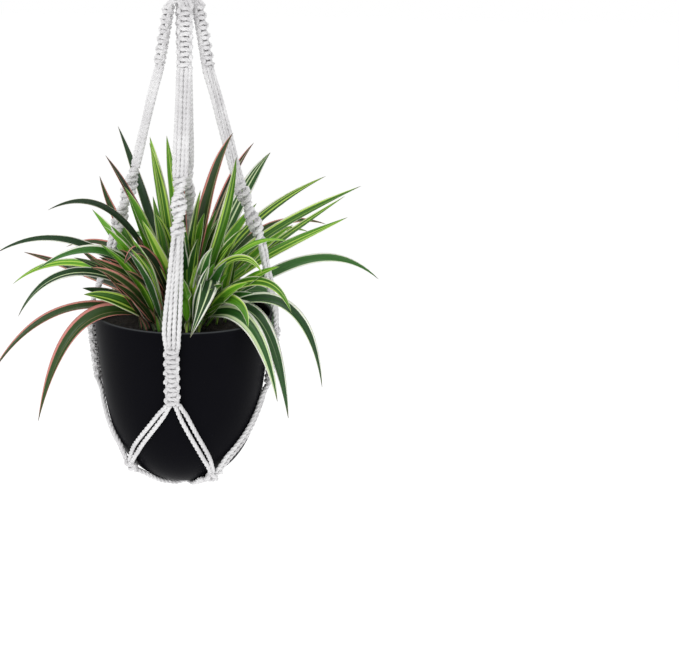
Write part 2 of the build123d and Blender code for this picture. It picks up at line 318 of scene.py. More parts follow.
def polished_steel():
    """Chrome, with painted reflections: dark and bright bands of base colour, picked by the way the
    surface faces, stand for the bands that its surroundings give a thin wire.
    """
    n = Nodes("polished_steel")
    facing = n.tree.nodes.new("ShaderNodeTexCoord").outputs["Normal"]
    # painted reflection: noise over the surface's facing direction picks a dark or a bright base
    # colour
    painted_reflection_bands = n.noise(n.scaled(facing, (1.3, 1.3, 1.3)), 1.6, 1.0, 0.3)
    scratches = n.noise(n.position(), 900.0, 3.0)
    painted_reflection_colour = n.mix(n.step(painted_reflection_bands, 0.42, 0.56), (0.16, 0.16, 0.17), (0.86, 0.86, 0.88))
    n.link(painted_reflection_colour, n.shader.inputs["Base Color"])
    n.shader.inputs["Metallic"].default_value = 1.0
    rough = n.math("ADD", n.math("MULTIPLY", scratches, 0.08), 0.05)
    n.link(rough, n.shader.inputs["Roughness"])
    n.link(n.bump(scratches, 0.03, 0.0002), n.shader.inputs["Normal"])
    return n.material


def pot_plastic():
    n = Nodes("pot_plastic")
    grain = n.noise(n.position(), 1400.0, 2.0)
    cloud = n.noise(n.position(), 18.0, 3.0)
    plain = n.mix(cloud, (0.0028, 0.0028, 0.0042), (0.0040, 0.0040, 0.0058))
    split = n.tree.nodes.new("ShaderNodeSeparateXYZ")
    n.link(n.position(), split.inputs[0])
    # painted highlight: a lighter grey band in the base colour along the top of the rim
    rim_highlight = n.step(split.outputs[2], rim_z - 1.6 * MM, rim_z - 0.4 * MM)
    n.link(n.mix(rim_highlight, plain, (0.055, 0.058, 0.062)), n.shader.inputs["Base Color"])
    rough = n.math("ADD", n.math("MULTIPLY", cloud, 0.12), 0.38)
    n.link(rough, n.shader.inputs["Roughness"])
    n.shader.inputs["Specular IOR Level"].default_value = 0.02
    n.link(n.bump(grain, 0.12, 0.0003), n.shader.inputs["Normal"])
    return n.material


def potting_soil():
    n = Nodes("potting_soil")
    crumbs = n.noise(n.position(), 220.0, 6.0, 0.7)
    earth = n.mix(n.step(crumbs, 0.3, 0.7), (0.004, 0.003, 0.002), (0.022, 0.014, 0.009))
    n.link(earth, n.shader.inputs["Base Color"])
    n.shader.inputs["Roughness"].default_value = 0.95
    n.link(n.bump(crumbs, 0.8, 0.002), n.shader.inputs["Normal"])
    return n.material


def leaf_skin(name, dark, bright, stripe, margin, margin_start, stripe_share):
    """A variegated blade: green with fine lengthwise stripes, and a pale or pink margin.
    The UV's first axis runs across the blade, and its second along it, past 2 on the underside."""
    n = Nodes(name)
    uv = n.uv()
    split = n.tree.nodes.new("ShaderNodeSeparateXYZ")
    n.link(uv, split.inputs[0])
    across, along = split.outputs[0], split.outputs[1]
    tint = n.add("ShaderNodeAttribute", attribute_name="tint").outputs["Fac"]
    lopsided = n.math("MULTIPLY", n.math("SUBTRACT", tint, 0.5), 0.16)
    offset = n.math("SUBTRACT", n.math("SUBTRACT", across, 0.5), lopsided)
    from_middle = n.math("MULTIPLY", n.math("ABSOLUTE", offset), 2.0)
    waver = n.noise(n.scaled(uv, (3.0, 7.0, 1.0)), 1.0, 2.0)
    wandering = n.math("ADD", from_middle, n.math("MULTIPLY", n.math("SUBTRACT", waver, 0.5), 0.24))
    streaks = n.scaled(uv, (5.2, 0.35, 1.0))
    shifted = n.tree.nodes.new("ShaderNodeVectorMath")
    n.link(streaks, shifted.inputs[0])
    n.link(n.math("MULTIPLY", tint, 40.0), shifted.inputs[1])
    lines = n.noise(shifted.outputs[0], 1.0, 1.0, 0.5)
    fine_lines = n.noise(n.scaled(uv, (14.0, 0.7, 1.0)), 1.0, 2.0, 0.4)
    veins = n.noise(n.scaled(uv, (120.0, 2.5, 1.0)), 1.0, 2.0)
    shade = n.math("ADD", n.math("MULTIPLY", tint, 0.55), n.math("MULTIPLY", fine_lines, 0.45))
    blade = n.mix(n.step(shade, 0.25, 0.75), dark, bright)
    striped = n.mix(n.step(lines, 1 - stripe_share, 1 - stripe_share + 0.07), blade, stripe)
    edged = n.mix(n.step(wandering, margin_start, margin_start + 0.07), striped, margin)
    underside = n.step(along, 1.4, 1.6)
    pale = n.mix(n.math("MULTIPLY", underside, 0.10), edged, (0.45, 0.55, 0.36))
    along_blade = n.math("FRACT", n.math("MULTIPLY", along, 0.5))
    tip = n.step(along_blade, 0.478, 0.499)
    dried = n.mix(n.math("MULTIPLY", tip, 0.6), pale, (0.10, 0.065, 0.03))
    n.link(dried, n.shader.inputs["Base Color"])
    n.link(n.bump(veins, 0.25, 0.0004), n.shader.inputs["Normal"])
    n.shader.inputs["Roughness"].default_value = 0.42
    n.shader.inputs["Specular IOR Level"].default_value = 0.45
    n.shader.inputs["Subsurface Weight"].default_value = 0.08
    n.shader.inputs["Subsurface Radius"].default_value = (0.001, 0.002, 0.0005)
    return n.material


cord_cotton = cotton("cord_cotton", (0.84, 0.835, 0.84), (0.66, 0.65, 0.66))
wrap_cotton = cotton("wrap_cotton", (0.86, 0.855, 0.86), (0.70, 0.69, 0.70))
LEAF_SKINS = {
    "green": leaf_skin(
        "leaf_green", (0.012, 0.07, 0.003), (0.13, 0.40, 0.010),
        (0.46, 0.68, 0.10), (0.82, 0.88, 0.58), 0.82, 0.47,
    ),
    "striped": leaf_skin(
        "leaf_striped", (0.004, 0.030, 0.006), (0.035, 0.16, 0.015),
        (0.62, 0.74, 0.42), (0.88, 0.91, 0.78), 0.74, 0.42,
    ),
    "dark": leaf_skin(
        "leaf_dark", (0.003, 0.014, 0.004), (0.016, 0.070, 0.012),
        (0.20, 0.30, 0.12), (0.62, 0.56, 0.46), 0.84, 0.44,
    ),
    "pink": leaf_skin(
        "leaf_pink", (0.004, 0.014, 0.004), (0.030, 0.075, 0.010),
        (0.36, 0.30, 0.16), (0.66, 0.25, 0.21), 0.70, 0.42,
    ),
}
LEAF_ORDER = list(LEAF_SKINS)
ALL_SKINS = list(LEAF_SKINS.values())


# ---------------------------------------------------------------- camera
VIEW_DISTANCE = 1.8
VIEW_ELEVATION = 14.3
CAMERA_DIP = 14.960  # degrees below the horizon
CAMERA_TURN = -5.454  # degrees to the right of the planter, which hangs left of the middle
CAMERA_ROLL = 1.412  # degrees, which keeps the planter's axis upright in the picture
FOCAL_LENGTH = 89.7

camera_data = bpy.data.cameras.new("camera")
camera_data.lens = FOCAL_LENGTH
camera_data.sensor_width = 36
camera_data.clip_start, camera_data.clip_end = 0.05, 60
camera = bpy.data.objects.new("camera", camera_data)
bpy.context.scene.collection.objects.link(camera)
rise = math.radians(VIEW_ELEVATION)
camera.location = (0, -VIEW_DISTANCE * math.cos(rise), rim_z + VIEW_DISTANCE * math.sin(rise))
aim = Matrix.Rotation(math.radians(CAMERA_TURN), 3, "Z")
aim = aim @ Matrix.Rotation(math.radians(90 - CAMERA_DIP), 3, "X")
aim = aim @ Matrix.Rotation(math.radians(CAMERA_ROLL), 3, "Z")
camera.rotation_euler = aim.to_euler()
bpy.context.scene.camera = camera


# ---------------------------------------------------------------- twisted cord
def cord_outline():
    """Outline of a three-strand cord of radius 1: three round lobes with grooves between."""
    lobe_offset, lobe_size, steps = 0.43, 0.57, 6
    outline = []
    for lobe in range(3):
        for i in range(steps):
            turn = math.radians(-60 + 120 * i / steps)
            reach = lobe_offset * math.cos(turn)
            reach += math.sqrt(lobe_size**2 - (lobe_offset * math.sin(turn)) ** 2)
            angle = math.radians(120 * lobe) + turn
            outline.append((reach * math.cos(angle), reach * math.sin(angle)))
    return np.array(outline)


OUTLINE = cord_outline()
RING_STEP = 1.25 * MM
TWIST_PITCH = 16 * MM


class CordMesh:
    """Several cords in one mesh, each a twisted three-strand tube with closed ends."""

    def __init__(self):
        self.verts, self.faces, self.uvs, self.count = [], [], [], 0

    def add(self, points, diameter=CORD, pitch=TWIST_PITCH, step=RING_STEP, phase=0.0):
        line, at = evenly(np.asarray(points, float), step)
        along = np.gradient(line, axis=0)
        along /= np.linalg.norm(along, axis=1)[:, None]
        side = np.cross(along[0], [0.0, 0.3, 1.0])
        side = unit(side)
        rings = []
        for i, (centre, forward) in enumerate(zip(line, along)):
            side = unit(side - forward * side.dot(forward))
            other = np.cross(forward, side)
            turn = phase + 2 * math.pi * at[i] / pitch
            c, s = math.cos(turn), math.sin(turn)
            x = OUTLINE[:, 0] * c - OUTLINE[:, 1] * s
            y = OUTLINE[:, 0] * s + OUTLINE[:, 1] * c
            rings.append(centre + (x[:, None] * side + y[:, None] * other) * diameter / 2)
        around = len(OUTLINE)
        base, n = self.count, len(rings)
        for ring_index, ring in enumerate(rings):
            self.verts.append(ring)
            self.uvs += [(k / around, at[ring_index] * 10) for k in range(around)]
        for i in range(n - 1):
            a, b = base + i * around, base + (i + 1) * around
            for k in range(around):
                m = (k + 1) % around
                self.faces.append((a + k, a + m, b + m, b + k))
        self.faces.append(tuple(base + k for k in reversed(range(around))))
        self.faces.append(tuple(base + (n - 1) * around + k for k in range(around)))
        self.count += n * around

    def build(self, name):
        return mesh_object(name, np.vstack(self.verts), self.faces, self.uvs)


class Local:
    """Coordinates along a stretch of an arm: across to the right as seen from outside, out from
    the axis, and down along the stretch."""

    def __init__(self, azimuth, start, end):
        self.start, self.length = start, np.linalg.norm(end - start)
        self.along = unit(end - start)
        self.across = tangent(azimuth)
        self.out = unit(np.cross(self.along, self.across))

    def at(self, across, out, down):
        across, out, down = np.broadcast_arrays(across, out, down)
        return (
            self.start
            + across[..., None] * self.across
            + out[..., None] * self.out
            + down[..., None] * self.along
        )


def knot_rows(place_in, half_knots, half_thickness=SINNET_HALF_THICKNESS):
    """Paths of the four cords through a flat sinnet of square knots: two straight fillers, one
    cord that crosses in front of them and one that crosses behind and shows at both edges."""
    u = np.linspace(0, half_knots, half_knots * 26 + 1)
    height = place_in.length / half_knots
    down = height * (u + 0.72 / (2 * math.pi) * np.sin(2 * math.pi * u))
    crossing = np.sin(math.pi * u) ** 2
    front_x = KNOT_LANES[0] * np.cos(math.pi * u)
    front_y = half_thickness * (-0.15 + 1.2 * crossing)
    behind_x = KNOT_LANES[3] * np.cos(math.pi * u)
    behind_y = half_thickness * (0.72 - 1.67 * crossing)
    paths = [place_in.at(front_x, front_y, down)]
    for lane in KNOT_LANES[1:3]:
        paths.append(place_in.at(lane, 0.0, np.linspace(0, place_in.length, 40)))
    paths.append(place_in.at(behind_x, behind_y, down))
    return paths


def spiral_rows(place_in, half_knots):
    """Paths of the four cords through a half-knot spiral: both working cords wind round the
    fillers the same way, and the flat of the knots makes one full turn."""
    u = np.linspace(0, half_knots, half_knots * 26 + 1)
    height = place_in.length / half_knots
    down = height * (u + 0.75 / (2 * math.pi) * np.sin(2 * math.pi * u))
    turn = 2 * math.pi * down / place_in.length
    neck = 1 - 0.25 * (ease(1 - u / 0.8) + ease(1 - (half_knots - u) / 0.8))
    paths = []
    for start in (math.pi, 0.0):
        angle = start + math.pi * u
        bulge = 1 + 0.10 * np.cos(2 * angle)
        x = SPIRAL_HALF_WIDTH * bulge * neck * np.cos(angle)
        y = SPIRAL_HALF_THICKNESS * np.sin(angle)
        across = x * np.cos(turn) - y * np.sin(turn)
        out = x * np.sin(turn) + y * np.cos(turn)
        paths.append(place_in.at(across, out, down))
    fillers = []
    for lane in KNOT_LANES[1:3]:
        fillers.append(place_in.at(lane * np.cos(turn), lane * np.sin(turn), down))
    return [paths[0], *fillers, paths[1]]


def knotted_piece(name, paths, diameters, node):
    cords = CordMesh()
    for i, (path, diameter) in enumerate(zip(paths, diameters)):
        cords.add(path, diameter, phase=1.7 * i)
    finish_piece(cords.build(name), "hanger", "cord", cord_cotton, node)


KNOT_DIAMETERS = (4.8 * MM, 4.2 * MM, 4.2 * MM, 4.8 * MM)
SPIRAL_DIAMETERS = (5.5 * MM, 4.0 * MM, 4.0 * MM, 5.5 * MM)
SPAN_LANES = (-5.9 * MM, -2.05 * MM, 2.05 * MM, 5.9 * MM)
RIM_LANES = (-7.4 * MM, -2.5 * MM, 2.5 * MM, 7.4 * MM)
wobble = random.Random(7)


def span_paths(start, end, start_across, end_across, lanes, waypoint=None):
    """Four taut cords side by side between two knots, never quite parallel. The waypoint, where
    there is one, is a place near the end that they bend over."""
    paths = []
    for i in range(4):
        points = [start + start_across * KNOT_LANES[i] * (0.95 if waypoint is None else 0.66)]
        for share in (0.06, 0.28, 0.55, 0.8):
            across = unit(start_across * (1 - share) + end_across * share)
            out = unit(np.cross(unit(end - start), across))
            drift, lift = wobble.uniform(-0.4, 0.4) * MM, wobble.uniform(-0.7, 0.7) * MM
            target = end if waypoint is None else waypoint
            lane = lanes[i]
            if waypoint is not None:
                lane *= 0.56 + 0.44 * ease(share / 0.95)
                lift += (-1) ** i * 1.9 * MM * (1 - ease(share / 0.9))
            points.append(start + (target - start) * share + across * (lane + drift) + out * lift)
        if waypoint is None:
            points.append(start + (end - start) * 0.95 + end_across * lanes[i])
        else:
            points.append(waypoint + end_across * lanes[i])
        points.append(end + end_across * KNOT_LANES[i])
        paths.append(smooth_path(points))
    return paths


# ---------------------------------------------------------------- arms
def make_arm(name, azimuth, spiral_top, spiral_bottom, turn, shifts):
    facing = azimuth + turn
    aside, spiral_aside = (np.array([shift * MM, 0, 0]) for shift in shifts)
    sinnet_top = place(azimuth, SINNET_START[0] * MM, SINNET_START[1] * MM) + aside
    sinnet_end = place(azimuth, SINNET_END[0] * MM, SINNET_END[1] * MM) + aside
    paths = knot_rows(Local(facing, sinnet_top, sinnet_end), SINNET_HALF_KNOTS)
    lead_in = []
    for lane, path in zip(KNOT_LANES, paths):
        inside = place(azimuth, 6.5 * MM, wrap_bottom + 8 * MM) + tangent(facing) * lane * 0.75
        entry = smooth_path([inside, inside * 0.35 + path[0] * 0.65, path[0]])
        lead_in.append(np.vstack([entry, path[1:]]))
    knotted_piece(f"square_knots_upper_{name}", lead_in, KNOT_DIAMETERS, f"upper_sinnet_{name}")

    top = place(azimuth, spiral_top[0] * MM, spiral_top[1] * MM) + spiral_aside
    bottom = place(azimuth, spiral_bottom[0] * MM, spiral_bottom[1] * MM) + spiral_aside
    rows = spiral_rows(Local(facing, top, bottom), SPIRAL_HALF_KNOTS)
    knotted_piece(f"half_knots_{name}", rows, SPIRAL_DIAMETERS, f"spiral_{name}")

    spans = span_paths(sinnet_end, top, tangent(facing), tangent(facing), SPAN_LANES)
    knotted_piece(f"arm_cords_upper_{name}", spans, [CORD] * 4, f"upper_cords_{name}")

    lower_top, lower_end = (on_pot(azimuth, depth, LOWER_SINNET_GAP) for depth in LOWER_SINNET_DEPTHS)
    lower_local = Local(azimuth, lower_top, lower_end)
    rows = knot_rows(lower_local, SINNET_HALF_KNOTS, LOWER_SINNET_HALF_THICKNESS)
    knotted_piece(f"square_knots_lower_{name}", rows, KNOT_DIAMETERS, f"lower_sinnet_{name}")

    over_rim = place(azimuth, rim_radius + 3.4 * MM, rim_z + 1 * MM)
    drops = span_paths(bottom, lower_top, tangent(facing), tangent(azimuth), RIM_LANES, over_rim)
    knotted_piece(f"arm_cords_lower_{name}", drops, [CORD] * 4, f"lower_cords_{name}")


# ---------------------------------------------------------------- cradle
def cradle_path(arm_azimuth, knot, beside, lanes):
    """One cord on the pot's wall from an arm's lower sinnet to the knot between it and its
    neighbour. beside is +1 for the upper cord of the pair, and -1 for the lower."""
    knot_azimuth, knot_depth = knot
    start_depth, end_depth = LOWER_SINNET_DEPTHS[1], knot_depth * MM - LOWER_KNOT_LENGTH / 2
    start = on_pot(arm_azimuth, start_depth, 0.0) + tangent(arm_azimuth) * lanes[0]
    end = on_pot(knot_azimuth, end_depth, 0.0) + tangent(knot_azimuth) * lanes[1]
    across = unit(np.cross(end - start, place((arm_azimuth + knot_azimuth) / 2, 1.0, 0.0)))
    if across[2] < 0:
        across = -across
    points = []
    for share in np.linspace(0, 1, 14):
        inside = min(share, 1 - share)
        at = start + (end - start) * share + across * beside * 1.4 * MM * ease(inside / 0.2)
        gap = CORD_GAP + (KNOT_GAP - CORD_GAP) * (1 - ease(inside / 0.14))
        points.append(on_pot(math.degrees(math.atan2(at[1], at[0])), rim_z - at[2], gap))
    return smooth_path(points)


def make_cradle(pair, knot):
    for arm, other in (pair, pair[::-1]):
        azimuth = ARMS[arm][0]
        turn = (knot[0] - azimuth + 180) % 360 - 180
        knot_azimuth = azimuth + turn
        low, high = KNOT_LANES[:2], KNOT_LANES[:1:-1]
        (upper_from, lower_from), (lower_to, upper_to) = (high, low) if turn > 0 else (low, high)
        cords = CordMesh()
        upper = cradle_path(azimuth, (knot_azimuth, knot[1]), 1, (upper_from, upper_to))
        lower = cradle_path(azimuth, (knot_azimuth, knot[1]), -1, (lower_from, lower_to))
        cords.add(upper, phase=0.6)
        cords.add(lower, phase=2.1)
        piece = cords.build(f"cradle_cords_{arm}_to_{other}")
        finish_piece(piece, "hanger", "cord", cord_cotton, f"cradle_{arm}_to_{other}")
    half = LOWER_KNOT_LENGTH / 2
    top = on_pot(knot[0], knot[1] * MM - half, KNOT_GAP)
    end = on_pot(knot[0], knot[1] * MM + half * 0.75, KNOT_GAP)
    first, second = pair
    rows = knot_rows(Local(knot[0], top, end), 2)
    node = f"lower_knot_{first}_{second}"
    knotted_piece(f"joining_knot_{first}_{second}", rows, [CORD] * 4, node)


def make_base_cords(knots, layer, node):
    """Four cords under the pot between two opposite knots. The second layer dips below the first."""
    azimuth = knots[0][0]
    across = tangent(azimuth)
    cords = CordMesh()
    for i in range(4):
        points = []
        for side, knot in zip((1, -1), knots):
            start_depth = knot[1] * MM + LOWER_KNOT_LENGTH * 0.375
            lane_mid = RIM_LANES[i] * 0.95
            facing = azimuth if side > 0 else azimuth + 180
            half = [on_pot(facing, start_depth, KNOT_GAP) + across * KNOT_LANES[i]]
            for reach, down in BASE_STATIONS:
                radius = math.hypot(reach * MM, lane_mid)
                depth = depth_at_radius(radius)
                out, up = pot_normal(depth) if depth < pot_height - MM else (0.0, -1.0)
                gap = CORD_GAP + layer * down * MM
                centre = place(azimuth, side * (reach * MM + gap * out), rim_z - depth + gap * up)
                half.append(centre + across * lane_mid)
            points += half if side > 0 else half[::-1]
        cords.add(smooth_path(points), phase=1.3 * i)
    finish_piece(cords.build(f"crossing_{node}"), "hanger", "cord", cord_cotton, node)


# ---------------------------------------------------------------- ring end
def make_cord_loops():
    """Bights over the ring's bottom wire, which turns inside them."""
    ring_radius = (ring_top - ring_bottom - RING_WIRE) / 2
    pivot_z = ring_bottom + RING_WIRE / 2
    thick = LOOP_CORD
    cords = CordMesh()
    for i in range(6):
        x = 3.85 * MM * (i - 2.5)
        far_side = abs(x) + thick / 2
        wire_rise = ring_radius - math.sqrt(ring_radius**2 - far_side**2)
        half_width = wire_rise + RING_WIRE / 2 + 0.1 * MM + thick / 2
        arc = [
            (x, half_width * math.sin(t), pivot_z + half_width * math.cos(t))
            for t in np.linspace(-math.pi / 2, math.pi / 2, 13)
        ]
        lean = wobble.uniform(-0.4, 0.4) * MM
        foot = [
            (0.72 * x, 0.80 * half_width, wrap_top - 7 * MM),
            (0.82 * x + lean, 0.95 * half_width, wrap_top + 2 * MM),
        ]
        legs = [(px, -py, pz) for px, py, pz in foot]
        cords.add(smooth_path(legs + arc + foot[::-1]), thick, phase=0.9 * i)
    finish_piece(cords.build("cord_bights"), "hanger", "cord", cord_cotton, "cord_loops")


def make_wrap():
    thick = WRAP_CORD
    radius = wrap_radius - thick / 2
    cords = CordMesh()
    angle = np.linspace(0, 2 * math.pi * WRAP_TURNS, WRAP_TURNS * 90)
    share = angle / angle[-1]
    tuck = ease(np.minimum(angle, angle[-1] - angle) / 1.2)
    reach = radius - 3.5 * MM * (1 - tuck)
    z = wrap_top - thick / 2 + (wrap_bottom - wrap_top + thick) * share
    helix = np.stack([reach * np.cos(angle), -reach * np.sin(angle), z], axis=1)
    cords.add(helix, thick, pitch=7.5 * MM, step=1.1 * MM)
    wrap = cords.build("wrapping_cord")
    finish_piece(wrap, "hanger", "wrap_cord", wrap_cotton, "gathering_wrap")

    bundle = CordMesh()
    for count, ring_at in ((6, 3.6), (11, 7.6)):
        for i in range(count):
            a = 2 * math.pi * (i + 0.3) / count
            x, y = ring_at * MM * math.cos(a), ring_at * MM * math.sin(a)
            ends = [np.array([x, y, z]) for z in np.linspace(wrap_top - MM, wrap_bottom + MM, 6)]
            bundle.add(np.array(ends), LOOP_CORD, phase=i)
    finish_piece(bundle.build("cord_bundle"), "hanger", "cord", cord_cotton)


# ---------------------------------------------------------------- pot and soil
def lathe(name, profile, segments):
    """A closed surface of revolution from (radius, z) points that start and end on the axis."""
    verts, faces, uvs = [], [], []
    inner = profile[1:-1]
    for radius, z in inner:
        for k in range(segments):
            a = 2 * math.pi * k / segments
            verts.append((radius * math.cos(a), radius * math.sin(a), z))
            uvs.append((k / segments, z))
    for i in range(len(inner) - 1):
        for k in range(segments):
            m = (k + 1) % segments
            a, b = i * segments, (i + 1) * segments
            faces.append((a + k, b + k, b + m, a + m))
    for z, row, flip in ((profile[0][1], 0, False), (profile[-1][1], len(inner) - 1, True)):
        centre = len(verts)
        verts.append((0, 0, z))
        uvs.append((0, z))
        for k in range(segments):
            a, b = row * segments + k, row * segments + (k + 1) % segments
            faces.append((centre, b, a) if flip else (centre, a, b))
    return mesh_object(name, verts, faces, uvs)


def make_pot():
    lip = POT_WALL / 2
    outside = [(pot_radius(d), rim_z - d) for d in np.linspace(pot_height, lip, 60)]
    rim = [
        (rim_radius - lip + lip * math.cos(t), rim_z - lip + lip * math.sin(t))
        for t in np.linspace(0.25, math.pi - 0.25, 9)
    ]
    inside = [(pot_radius(d) - POT_WALL, rim_z - d) for d in np.linspace(lip, CAVITY_DEPTH, 14)]
    base_radius = outside[0][0]
    floor = [(r, rim_z - pot_height) for r in np.linspace(base_radius * 0.2, base_radius * 0.97, 6)]
    cavity = [(pot_radius(CAVITY_DEPTH) - 2 * POT_WALL, rim_z - CAVITY_DEPTH - 2 * MM)]
    first, last = (0, rim_z - pot_height), (0, cavity[0][1])
    pot = lathe("pot_shell", [first, *floor, *outside, *rim, *inside, *cavity, last], 160)
    finish_piece(pot, "potted_plant", "pot", pot_plastic(), "pot")


def make_soil():
    rng = np.random.default_rng(11)
    radius = pot_radius(16 * MM) - POT_WALL - 0.3 * MM
    rings = 46
    verts, faces = [(0, 0, soil_z)], []
    segments = 150
    for i in range(1, rings + 1):
        r = radius * i / rings
        for k in range(segments):
            a = 2 * math.pi * k / segments
            rough = 0 if i == rings else rng.uniform(-1.0, 1.1) * MM
            verts.append((r * math.cos(a), r * math.sin(a), soil_z + rough - 0.6 * MM))
    for k in range(segments):
        faces.append((0, 1 + k, 1 + (k + 1) % segments))
    for i in range(rings - 1):
        a, b = 1 + i * segments, 1 + (i + 1) * segments
        for k in range(segments):
            m = (k + 1) % segments
            faces.append((a + k, b + k, b + m, a + m))
    bottom = len(verts)
    for k in range(segments):
        a = 2 * math.pi * k / segments
        verts.append((radius * 0.97 * math.cos(a), radius * 0.97 * math.sin(a), soil_z - SOIL_DEPTH))
    last = 1 + (rings - 1) * segments
    for k in range(segments):
        m = (k + 1) % segments
        faces.append((last + k, bottom + k, bottom + m, last + m))
    faces.append(tuple(bottom + k for k in reversed(range(segments))))
    soil = mesh_object("potting_soil_top", verts, faces)
    finish_piece(soil, "potted_plant", "soil", potting_soil(), "soil")


# ---------------------------------------------------------------- leaves
# Each leaf: azimuth, three (radius, height above the rim) control points after its base, the
# greatest width, the skin, and how far the tip sways to the left as seen from outside. All mm.
TIER_BASES = {"drooping": (20.0, -12.0), "arching": (14.0, -8.0), "upright": (8.0, -6.0)}
LEAVES = {
    "drooping_leaves_front_right": [
        (304, (62, 34), (112, 44), (118, 6), 10, "green", 3),
        (311, (62, 20), (112, 34), (137, -71), 16, "striped", -6),
        (319.5, (66, 26), (116, 40), (138, -93), 17, "striped", -4),
        (327, (80, 36), (150, 52), (166, -60), 13, "striped", -5),
    ],
    "drooping_leaves_back_right": [
        (27, (72, 24), (122, 20), (112, -30), 11, "striped", 0),
        (40, (72, 26), (125, 30), (128, -66), 13, "striped", 5),
        (54, (72, 24), (120, 26), (130, -80), 12, "green", -6),
    ],
    "drooping_leaves_back_left": [
        (106, (72, 24), (120, 26), (132, -84), 12, "striped", 6),
        (121, (72, 26), (125, 32), (134, -58), 13, "pink", 0),
        (136, (72, 24), (118, 24), (126, -74), 12, "striped", -6),
    ],
    "drooping_leaves_front_left": [
        (206, (74, 16), (132, 38), (163, -101), 14, "pink", 4),
        (197.5, (80, 20), (150, 34), (206, -52), 9, "pink", -4),
    ],
    "arching_leaves_front_right": [
        (316, (36, 44), (80, 80), (82, 0), 20, "striped", 77),
        (323.5, (60, 44), (116, 66), (137, 18), 9, "green", 0),
        (309, (40, 52), (92, 92), (118, 60), 9, "green", -6),
        (318, (40, 40), (80, 96), (132, 92), 8, "green", -8),
    ],
    "arching_leaves_back_right": [
        (13.5, (80, 22), (150, 84), (219, 22), 11, "striped", 0),
        (21, (60, 46), (120, 62), (190, 88), 10, "green", 4),
        (33.5, (50, 56), (110, 100), (191, 72), 10, "pink", 0),
        (47, (60, 40), (130, 84), (200, 56), 9, "green", 8),
        (25, (60, 40), (120, 70), (196, 108), 7, "green", 0),
    ],
    "arching_leaves_back_left": [
        (113.5, (50, 44), (110, 84), (165, 40), 10, "striped", 0),
        (128.5, (60, 40), (130, 66), (205, 34), 10, "pink", -6),
        (142, (70, 14), (150, 24), (228, 31), 10, "pink", 0),
        (149, (70, 34), (150, 60), (222, 0), 8, "green", 0),
    ],
    "arching_leaves_front_left": [
        (194, (60, 62), (130, 108), (196, 70), 8, "striped", 0),
        (201.5, (60, 46), (140, 82), (178, 9), 9, "striped", 4),
        (211, (50, 60), (100, 100), (170, 64), 10, "striped", 0),
        (220, (40, 30), (80, 52), (122, 74), 13, "pink", -4),
        (230, (34, 44), (66, 98), (92, 66), 14, "pink", 0),
    ],
    "upright_leaves_front_right": [
        (298.5, (26, 70), (46, 150), (90, 200), 13, "pink", -8),
        (315.5, (46, 60), (70, 120), (74, 172), 12, "green", 0),
        (285.5, (22, 60), (40, 100), (54, 138), 10, "green", -3),
        (292, (24, 60), (34, 90), (40, 112), 9, "green", -8),
    ],
    "upright_leaves_back_right": [
        (17, (50, 60), (110, 92), (200, 124), 9, "green", 0),
        (27, (46, 64), (90, 104), (170, 132), 9, "green", 6),
        (40, (50, 70), (90, 130), (124, 156), 15, "striped", 0),
        (55, (36, 70), (80, 130), (146, 160), 8, "pink", -6),
        (60, (24, 60), (50, 100), (76, 132), 9, "pink", -6),
    ],
    "upright_leaves_back_left": [
        (105, (20, 70), (40, 130), (64, 176), 10, "green", 0),
        (119, (26, 70), (50, 130), (74, 174), 11, "green", 0),
        (134, (36, 70), (70, 130), (106, 183), 9, "dark", 4),
        (147, (60, 44), (92, 90), (105, 133), 9, "pink", 0),
        (95, (14, 60), (26, 110), (36, 165), 8, "pink", 0),
    ],
    "upright_leaves_front_left": [
        (195.5, (50, 104), (90, 138), (142, 114), 7, "dark", 0),
        (207, (36, 80), (60, 130), (86, 170), 9, "pink", 4),
        (214, (34, 50), (54, 100), (69, 136), 13, "green", 0),
        (218.5, (30, 60), (54, 104), (76, 140), 12, "green", 0),
        (233, (22, 78), (40, 134), (64, 186), 13, "green", -4),
        (240, (16, 60), (30, 90), (52, 112), 10, "green", 4),
    ],
}


FRONT = unit(np.array([0.0, -1.0, 0.27]))  # where leaves at the sides turn their faces
FACING = 0.8
FULLNESS = 1.25  # live leaves are wider than their plain solids


def leaf_width(t):
    """Width of a blade along its length, as a share of its greatest."""
    swell = 0.42 + 0.58 * ease(t / 0.5)
    taper = 1 - np.clip((t - 0.45) / 0.55, 0, 1) ** 2.3
    return swell * taper + 0.025


